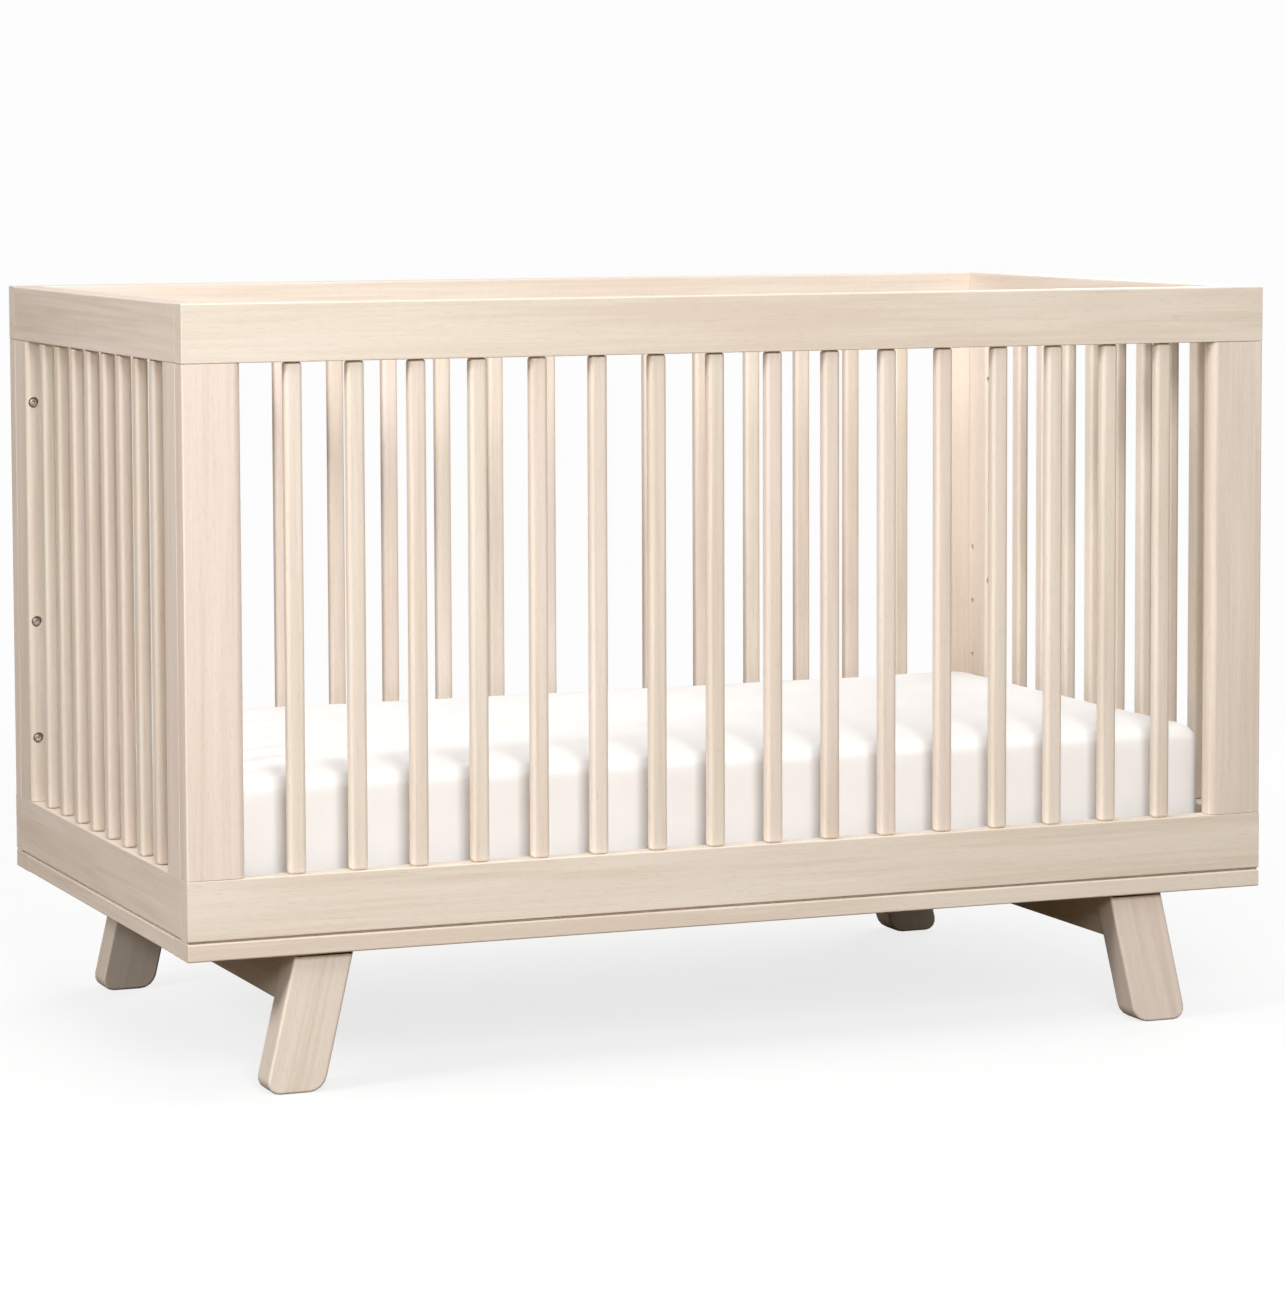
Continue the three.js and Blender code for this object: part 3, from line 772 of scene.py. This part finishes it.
def support_hole(end, row, level):
    """Where a support hole opens on a post's inner face; level counts up from the lowest."""
    side = end.split("_")[0]
    low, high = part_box(f"support_{row}_{side}_bolt")
    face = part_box(f"{end}_{row}_post")[1 if side == "left" else 0].x
    return (face, (low.y + high.y) / 2, (low.z + high.z) / 2 + level * SUPPORT_HOLE_STEP)


for end, outward in (("left_end", -1), ("right_end", 1)):
    for row, away in (("front", -1), ("back", 1)):
        name = f"{end}_{row}_post"
        low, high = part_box(name)
        slat_face = high.y if away < 0 else low.y
        outer_face = low.x if outward < 0 else high.x
        through = high.y - low.y + PAST
        radii = [POST_ROUND, POST_ROUND, EASED, EASED]
        if away < 0:
            radii = [EASED, EASED, POST_ROUND, POST_ROUND]
        bolt_profile = [(COUNTERBORE_R, -PAST), (COUNTERBORE_R, COUNTERBORE_DEEP),
                        (BORE_R, COUNTERBORE_DEEP), (BORE_R, through)]
        blind_profile = [(RAIL_HOLE_R, -PAST), (RAIL_HOLE_R, RAIL_HOLE_DEEP)]
        insert_profile = [(SUPPORT_HOLE_R, -PAST), (SUPPORT_HOLE_R, SUPPORT_HOLE_DEEP)]
        holes = []
        for x, z in bolt_points(end, row):
            rail_x = outer_face - outward * RAIL_HOLE_FROM_OUTSIDE
            holes.append(hole((x, slat_face, z), (0, away, 0), bolt_profile))
            holes.append(hole((rail_x, slat_face, z), (0, away, 0), blind_profile))
        for level in range(SUPPORT_HOLE_COUNT):
            holes.append(hole(support_hole(end, row, level), (outward, 0, 0), insert_profile))
        post = board(name, UPRIGHT, radii, POST_END)
        drill(post, holes)
        finish_wood(post, UPRIGHT, [name])
print("posts: 4, with", len(holes), "holes each")

# %% [markdown]
# ## Legs and their beams
# Each leg is a thick block that leans outwards and ends in a flat foot with round corners. Its
# outline is drawn from the side and carried through the leg's thickness. Between the legs of a
# pair runs a beam with the same lean. The radius at a foot's corner is chosen so that both
# corners take the same length off the sole, although one is sharper than the other.

# %% Legs
LEAN = math.radians(13)
LEG_WIDE = 0.071
BEAM_WIDE = 0.066
FOOT_CUT = 0.018
LEG_EASED = 0.0035              # the long edges are rounded over, for bare ankles


def leaning_corners(side, wide, low_z, high_z, top_z):
    """Corners of a bar that leans outwards under the cross board, in (X, Z).

    Its middle is at the cross board's middle at height top_z, and moves out by tan(lean) below it.
    """
    board_low, board_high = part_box(f"base_{side}_cross_board")
    middle = (board_low.x + board_high.x) / 2
    slope = math.copysign(math.tan(LEAN), middle)
    low_x = middle + slope * (top_z - low_z)
    high_x = middle + slope * (top_z - high_z)
    half = wide / 2
    return [(low_x - half, low_z), (low_x + half, low_z), (high_x + half, high_z), (high_x - half, high_z)]


for side, outward in (("left", -1), ("right", 1)):
    top_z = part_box(f"base_{side}_cross_board")[0].z
    sharp_round = FOOT_CUT * math.tan((math.pi / 2 - LEAN) / 2)
    blunt_round = FOOT_CUT * math.tan((math.pi / 2 + LEAN) / 2)
    sole_radii = [blunt_round, sharp_round] if outward > 0 else [sharp_round, blunt_round]
    axes = axes_along(CROSSWISE)
    grain_line = (outward * math.sin(LEAN), 0, -math.cos(LEAN))
    for row in ("front", "back"):
        name = f"{row}_{side}_leg"
        low, high = box_along(name, axes)
        corners = leaning_corners(side, LEG_WIDE, low[1], high[1], top_z)
        outline = rounded_outline(corners, [*sole_radii, EASED, EASED])
        finish_wood(bar(name + "_wood", axes, outline, (low[2], high[2]), LEG_EASED), grain_line, [name])
    name = f"{side}_leg_beam"
    low, high = box_along(name, axes)
    corners = leaning_corners(side, BEAM_WIDE, low[1], high[1], top_z)
    outline = rounded_outline(corners, EASED)
    finish_wood(bar(name + "_wood", axes, outline, (low[2], high[2]), EASED_END), CROSSWISE, [name])
print("legs: 4, beams: 2")

# %% [markdown]
# ## Bolts
# The corner bolts have a low button head with a hexagon socket. One profile is turned round the
# axis, starting at the socket's floor: up its wall, over the head, and down the shank. Only the
# rows of the socket follow a hexagon.

# %% Bolts
SHANK_R = 0.003
HEAD_R = 0.0054
SOCKET = 0.0022                 # half of the socket's width across flats
SOCKET_FLARE = 1.12             # the socket's mouth is a little wider
SOCKET_DEEP = 0.55              # shares of the head's height
SOCKET_LIP = 0.08
TIP_CHAMFER = 0.0008

# from the socket to the rim and the back: shares of the head's radius and of its height
BUTTON = [(0.62, 0.0), (0.84, 0.12), (0.96, 0.30), (1.0, 0.52), (1.0, 0.95), (0.97, 1.0)]


def bolt(name, direction, head, body):
    """A button-head bolt that fills the CAD bolt's length; direction runs from its head to its tip."""
    axes = axes_along(direction)
    low, high = box_along(name, axes)
    middle = (low[:2] + high[:2]) / 2
    start, tip = low[2], high[2]
    socket = [(SOCKET, start + SOCKET_DEEP * head), (SOCKET, start + SOCKET_LIP * head),
              (SOCKET * SOCKET_FLARE, start)]
    button = [(HEAD_R * wide, start + high * head) for wide, high in BUTTON]
    shank = [(SHANK_R, start + head), (SHANK_R, tip - TIP_CHAMFER), (SHANK_R - TIP_CHAMFER, tip)]
    grid = turned(socket + button + shank, hexed=range(len(socket)))
    grid[..., :2] += middle
    piece = put_mesh(name + "_steel", grid.reshape(-1, 3) @ axes, tube_faces(*grid.shape[:2]))
    return finish_piece(piece, zinc_steel, body, [name])


CORNER_HEAD = 0.005
BRACKET_HEAD = 0.004
for end, outward in (("left_end", -1), ("right_end", 1)):
    for row, away in (("front", -1), ("back", 1)):
        for level in LEVELS:
            bolt(f"{end}_{row}_{level}_bolt", (0, away, 0), CORNER_HEAD, "crib_frame")
        corner = f"support_{row}_{end.split('_')[0]}_bolt"
        bolt(corner, (outward, 0, 0), BRACKET_HEAD, "mattress_support")
print("bolts: 16")

# %% [markdown]
# ## The mattress support's rim
# Four lengths of angle iron make the rim. An angle is rolled from one strip, so it is sharp at its
# toes, filled at its root and rounded at its heel. Six corners, each with a radius of its own, draw
# that section, and it is carried along each side.

# %% Angle irons
STEEL = 0.0025
TOE_ROUND = 0.0009
ROOT_ROUND = 0.0025
HEEL_ROUND = 0.0032
METAL_END = 0.0004


def angle_outline(low, high, outer):
    """An angle's section: a flat leg on top and a hanging leg on its outer side, -1 or 1."""
    wall = low[0] + STEEL
    shelf = high[1] - STEEL
    corners = [(low[0], low[1]), (wall, low[1]), (wall, shelf), (high[0], shelf), (high[0], high[1]),
               (low[0], high[1])]
    radii = [TOE_ROUND, TOE_ROUND, ROOT_ROUND, TOE_ROUND, TOE_ROUND, HEEL_ROUND]
    if outer > 0:
        corners = [(low[0] + high[0] - x, z) for x, z in corners][::-1]
        radii = radii[::-1]
    return rounded_outline(corners, radii)


for side, (direction, outer) in zip(("front", "back", "left", "right"), PANELS.values()):
    name = f"support_{side}_angle"
    axes = axes_along(direction)
    low, high = box_along(name, axes)
    outline = angle_outline(low, high, outer)
    iron = bar(name + "_iron", axes, outline, (low[2], high[2]), METAL_END)
    finish_piece(iron, white_enamel, "mattress_support", [name])
print("angle irons: 4")

# %% [markdown]
# ## Straps
# Flat straps cross between the angle irons: five along the crib on top, and nine across it below.
# They share the thickness of the CAD's deck, half each, so that they touch without cutting into
# each other.

# %% Straps
STRAP_WIDE = 0.012
STRAPS_ALONG = 5
STRAPS_ACROSS = 9
STRAP_ROUND = 0.0004

rim_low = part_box("support_front_angle")[0]
rim_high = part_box("support_back_angle")[1]
deck_low, deck_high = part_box("support_straps")
deck_middle = (deck_low.z + deck_high.z) / 2


def evenly(low, high, count):
    """count places that divide a length into equal parts."""
    return np.linspace(low, high, count + 2)[1:-1]


def strap(name, direction, place, layer):
    """A flat strap across the rim, at that place on its level side axis."""
    axes = axes_along(direction)
    low, high = box_along("support_straps", axes)
    corners = rectangle((place - STRAP_WIDE / 2, layer[0]), (place + STRAP_WIDE / 2, layer[1]))
    outline = rounded_outline(corners, STRAP_ROUND)
    piece = bar(name, axes, outline, (low[2], high[2]), STRAP_ROUND / 2)
    finish_piece(piece, white_enamel, "mattress_support", ["support_straps"])


rows_y = evenly(rim_low.y, rim_high.y, STRAPS_ALONG)
columns_x = evenly(rim_low.x, rim_high.x, STRAPS_ACROSS)
for i, y in enumerate(rows_y):
    strap(f"support_long_strap_{i + 1}", LENGTHWISE, y, (deck_middle, deck_high.z))
for i, x in enumerate(columns_x):
    strap(f"support_cross_strap_{i + 1}", CROSSWISE, x, (deck_low.z, deck_middle))
print("straps:", STRAPS_ALONG + STRAPS_ACROSS)

# %% [markdown]
# ## Rivets
# The straps are riveted wherever they cross. A rivet's head is a low dome, and a quarter of an
# ellipse on the lathe makes one. There are 45 of them under the mattress, so each has only a few
# faces, and all of them are one piece.

# %% Rivets
RIVET_R = 0.0034
RIVET_HIGH = 0.0012
RIVET_TOP = 0.12                # angle from the axis at which the dome is closed by a flat
RIVET_ROWS = 4
RIVET_SIDES = 12

t = np.linspace(math.pi / 2, RIVET_TOP, RIVET_ROWS)
dome = turned(np.stack([RIVET_R * np.sin(t), RIVET_HIGH * np.cos(t)], 1))
dome = dome[:, ::ROUND_STEPS // RIVET_SIDES]
places = np.stack(np.meshgrid(columns_x, rows_y, deck_high.z), -1).reshape(-1, 3)
rivet_faces = tube_faces(*dome.shape[:2])
rivets = put_mesh("support_rivets", *joined([(dome.reshape(-1, 3) + at, rivet_faces) for at in places]))
finish_piece(rivets, zinc_steel, "mattress_support")
print("rivets:", len(places))

# %% [markdown]
# ## Brackets
# A flat plate at each corner hangs the rim from a bolt in the post. It has rounded corners and one
# hole, drilled in line with the lowest of the post's support holes.

# %% Brackets
BRACKET_ROUND = 0.006

for side, outward in (("left", -1), ("right", 1)):
    for row in ("front", "back"):
        name = f"support_{row}_{side}_bracket"
        axes = axes_along(LENGTHWISE)
        low, high = box_along(name, axes)
        outline = rounded_outline(rectangle(low, high), BRACKET_ROUND)
        plate = bar(name + "_steel", axes, outline, (low[2], high[2]), METAL_END)
        _, y, z = support_hole(side + "_end", row, 0)
        near_x = low[2] if outward > 0 else high[2]
        through = high[2] - low[2] + PAST
        drill(plate, [hole((near_x, y, z), (outward, 0, 0), [(BORE_R, -PAST), (BORE_R, through)])])
        finish_piece(plate, zinc_steel, "mattress_support", [name])
print("brackets: 4")

# %% [markdown]
# ## The mattress
# A crib mattress is a firm block of foam in a fitted sheet. The block's outline is a rectangle with
# rounded corners, and it draws in at the top and the sole by ease (1 - sin t), as the wooden bars
# do at their ends. It starts a little smaller than the CAD mattress, because the next step swells it.

# %% Mattress block
SWELL = 0.005                   # room left for the pressure, on every side but the sole
PLAN_ROUND = 0.016
TOP_ROUND = 0.018
SOLE_ROUND = 0.007
EDGE_STEPS = 6

low, high = (np.array(corner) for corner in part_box("mattress"))
corners = rectangle(low[:2] + SWELL, high[:2] - SWELL)
plan, plan_normals = rounded_outline(corners, PLAN_ROUND)
t = np.linspace(0, math.pi / 2, EDGE_STEPS + 1)
inset = 1 - np.sin(t)
rise = 1 - np.cos(t)
inset = np.concatenate([SOLE_ROUND * inset, TOP_ROUND * inset[::-1]])[:, None, None]
height = np.concatenate([low[2] + SOLE_ROUND * rise, high[2] - SWELL - TOP_ROUND * rise[::-1]])[:, None]
rings = plan - inset * plan_normals
block = np.dstack([rings, np.broadcast_to(height, rings.shape[:2])])
mattress = put_mesh("crib_mattress", block, tube_faces(*block.shape[:2]))
print("block:", np.round(np.ptp(block.reshape(-1, 3), axis=0), 3))

# %% [markdown]
# ## The sheet fills out
# A formula alone gives a block that is too perfect. Cloth under pressure crowns the top, pulls the
# sheet tight over the edges and leaves the small unevenness that reads as fabric. So the block is
# cut into even cells, swelled for a few frames, and no point may go further than a few millimetres.
# The sole stays flat, because it lies on the straps.

# %% Let the sheet fill out
VOXEL = 0.012
PRESSURE = 4.0
FRAMES = 20
MOST_MOVE = 0.007
TINY = 1e-9                     # keeps a point that hasn't moved from dividing by zero


def fill_out(piece, most):
    """Cloth under pressure, with each point's way limited to most by most * tanh(way / most)."""
    remesh = piece.modifiers.new("even", "REMESH")
    remesh.mode = "VOXEL"
    remesh.voxel_size = VOXEL
    bake_modifiers(piece)
    rest = points_of(piece)
    cloth = piece.modifiers.new("sheet", "CLOTH")
    cloth.settings.use_pressure = True
    cloth.settings.uniform_pressure_force = PRESSURE
    cloth.settings.effector_weights.gravity = 0
    cloth.point_cache.frame_end = FRAMES
    for number in range(1, FRAMES + 1):
        bpy.context.scene.frame_set(number)
    bake_modifiers(piece)
    bpy.context.scene.frame_set(1)
    moved = points_of(piece) - rest
    way = np.linalg.norm(moved, axis=1, keepdims=True) + TINY
    points = rest + moved / way * most * np.tanh(way / most)
    points[:, 2] = np.maximum(points[:, 2], rest[:, 2].min())
    piece.data.vertices.foreach_set("co", points.astype(np.float32).ravel())
    piece.data.update()
    return way.max()


print("largest push:", round(float(fill_out(mattress, MOST_MOVE)) * 1000, 1), "mm")
smooth = mattress.modifiers.new("smooth", "SUBSURF")
smooth.levels = smooth.render_levels = 1
bake_modifiers(mattress)

finish_piece(mattress, white_cotton, "mattress", ["mattress"])
print("mattress:", len(mattress.data.polygons), "faces")
